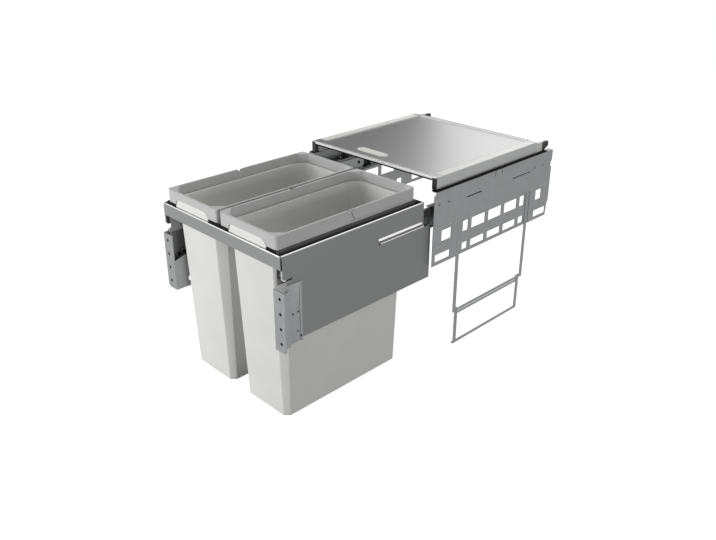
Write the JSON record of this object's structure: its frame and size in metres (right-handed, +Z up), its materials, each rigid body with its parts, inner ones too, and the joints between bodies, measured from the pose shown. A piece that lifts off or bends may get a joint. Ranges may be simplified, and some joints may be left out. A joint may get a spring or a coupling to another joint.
{
  "type": "built-in waste bin",
  "caption": "Pull-out waste bin for a base cabinet: twin lift-out bins in a drawer frame on ball-bearing runners, with side plates, stands and a sliding lid board.",
  "frame": {"origin": "on the cabinet floor, under the middle of the box that holds the unit with its drawer fully out", "axes": "+Z up, +Y into the cabinet, +X to the right as seen from the front; the drawer pulls out along -Y"},
  "size_m": [0.412, 0.8774, 0.4435],
  "materials": {
    "plate_steel": "satin, zinc plated",
    "runner_steel": "bright zinc plated",
    "drawer_steel": "satin powder coat",
    "lid_steel": "brushed",
    "lid_aluminium": "matt anodised",
    "guide_plastic": "matt",
    "black_plastic": "matt",
    "seal_rubber": "matt",
    "bucket_plastic": "fine grain",
    "collar_plastic": "fine grain"
  },
  "bodies": {
    "cabinet_frame": {"side_plate_right": "plate_steel", "side_plate_left": "plate_steel", "upper_stand_right": "plate_steel", "upper_stand_left": "plate_steel", "rail_carrier_right": "plate_steel", "rail_carrier_left": "plate_steel", "carrier_rivets": "runner_steel", "fixed_rail_right": "runner_steel", "fixed_rail_left": "runner_steel", "rail_guide_right": "black_plastic", "rail_guide_left": "black_plastic", "soft_close_right": "black_plastic", "soft_close_left": "black_plastic", "clamp_knobs": "runner_steel", "guide_strip_right": "black_plastic", "guide_strip_left": "black_plastic", "lid_guide_right": "guide_plastic", "lid_guide_left": "guide_plastic", "lid_stops": "black_plastic"},
    "drawer": {"drawer_rail_right": "runner_steel", "drawer_rail_left": "runner_steel", "inner_rail_right": "drawer_steel", "inner_rail_left": "drawer_steel", "side_panel_right": "drawer_steel", "side_panel_left": "drawer_steel", "front_rail": "drawer_steel", "rear_rail": "drawer_steel", "bin_seat_right": "black_plastic", "bin_seat_left": "black_plastic", "bin_seat_front": "black_plastic", "bin_seat_rear": "black_plastic", "bin_seat_centre": "black_plastic", "front_bracket_right": "drawer_steel", "front_bracket_left": "drawer_steel", "bracket_screws": "runner_steel"},
    "lid": {"lid_sheet": "lid_steel", "lid_profile_right": "lid_aluminium", "lid_profile_left": "lid_aluminium", "lid_front_trim": "lid_steel", "lid_rear_trim": "lid_aluminium", "lid_grip": "guide_plastic", "lid_caps": "black_plastic", "lid_sliders": "black_plastic", "lid_seal": "seal_rubber"},
    "stand_right": {"lower_stand_right": "plate_steel"},
    "outer_cage_right": {"outer_cage_right": "black_plastic"},
    "middle_right": {"middle_rail_right": "runner_steel", "rail_stop_right": "black_plastic"},
    "inner_cage_right": {"inner_cage_right": "black_plastic"},
    "bin_right": {"bucket_right": "bucket_plastic"},
    "rim_right": {"collar_right": "collar_plastic"},
    "bail_right": {"handle_right": "collar_plastic"},
    "stand_left": {"lower_stand_left": "plate_steel"},
    "outer_cage_left": {"outer_cage_left": "black_plastic"},
    "middle_left": {"middle_rail_left": "runner_steel", "rail_stop_left": "black_plastic"},
    "inner_cage_left": {"inner_cage_left": "black_plastic"},
    "bin_left": {"bucket_left": "bucket_plastic"},
    "rim_left": {"collar_left": "collar_plastic"},
    "bail_left": {"handle_left": "collar_plastic"}
  },
  "joints": [
    {"name": "drawer_slide", "type": "slide", "parent": "cabinet_frame", "child": "drawer", "axis": [0, -1, 0], "range_m": [-0.415, 0]},
    {"name": "middle_slide_right", "type": "slide", "parent": "cabinet_frame", "child": "middle_right", "axis": [0, -1, 0], "range_m": [-0.2075, 0]},
    {"name": "outer_cage_slide_right", "type": "slide", "parent": "cabinet_frame", "child": "outer_cage_right", "axis": [0, -1, 0], "range_m": [-0.10375, 0]},
    {"name": "inner_cage_slide_right", "type": "slide", "parent": "cabinet_frame", "child": "inner_cage_right", "axis": [0, -1, 0], "range_m": [-0.31125, 0]},
    {"name": "middle_slide_left", "type": "slide", "parent": "cabinet_frame", "child": "middle_left", "axis": [0, -1, 0], "range_m": [-0.2075, 0]},
    {"name": "outer_cage_slide_left", "type": "slide", "parent": "cabinet_frame", "child": "outer_cage_left", "axis": [0, -1, 0], "range_m": [-0.10375, 0]},
    {"name": "inner_cage_slide_left", "type": "slide", "parent": "cabinet_frame", "child": "inner_cage_left", "axis": [0, -1, 0], "range_m": [-0.31125, 0]},
    {"name": "bin_lift_right", "type": "slide", "parent": "drawer", "child": "bin_right", "axis": [0, 0, 1], "range_m": [0, 0.4]},
    {"name": "collar_lift_right", "type": "slide", "parent": "bin_right", "child": "rim_right", "axis": [0, 0, 1], "range_m": [0, 0.06]},
    {"name": "handle_swing_right", "type": "hinge", "parent": "rim_right", "child": "bail_right", "pos_m": [0.092, -0.2333, 0.416], "axis": [1, 0, 0], "range_deg": [0, 95]},
    {"name": "bin_lift_left", "type": "slide", "parent": "drawer", "child": "bin_left", "axis": [0, 0, 1], "range_m": [0, 0.4]},
    {"name": "collar_lift_left", "type": "slide", "parent": "bin_left", "child": "rim_left", "axis": [0, 0, 1], "range_m": [0, 0.06]},
    {"name": "handle_swing_left", "type": "hinge", "parent": "rim_left", "child": "bail_left", "pos_m": [-0.092, -0.2333, 0.416], "axis": [1, 0, 0], "range_deg": [0, 95]},
    {"name": "lid_slide", "type": "slide", "parent": "cabinet_frame", "child": "lid", "axis": [0, 1, 0], "range_m": [-0.15, 0]},
    {"name": "stand_slide_right", "type": "slide", "parent": "cabinet_frame", "child": "stand_right", "axis": [0, 0, 1], "range_m": [0, 0.08]},
    {"name": "stand_slide_left", "type": "slide", "parent": "cabinet_frame", "child": "stand_left", "axis": [0, 0, 1], "range_m": [0, 0.08]}
  ],
  "couplings": [
    {"joint": "middle_slide_right", "follows": "drawer_slide", "ratio": 0.5},
    {"joint": "outer_cage_slide_right", "follows": "drawer_slide", "ratio": 0.25},
    {"joint": "inner_cage_slide_right", "follows": "drawer_slide", "ratio": 0.75},
    {"joint": "middle_slide_left", "follows": "drawer_slide", "ratio": 0.5},
    {"joint": "outer_cage_slide_left", "follows": "drawer_slide", "ratio": 0.25},
    {"joint": "inner_cage_slide_left", "follows": "drawer_slide", "ratio": 0.75}
  ]
}
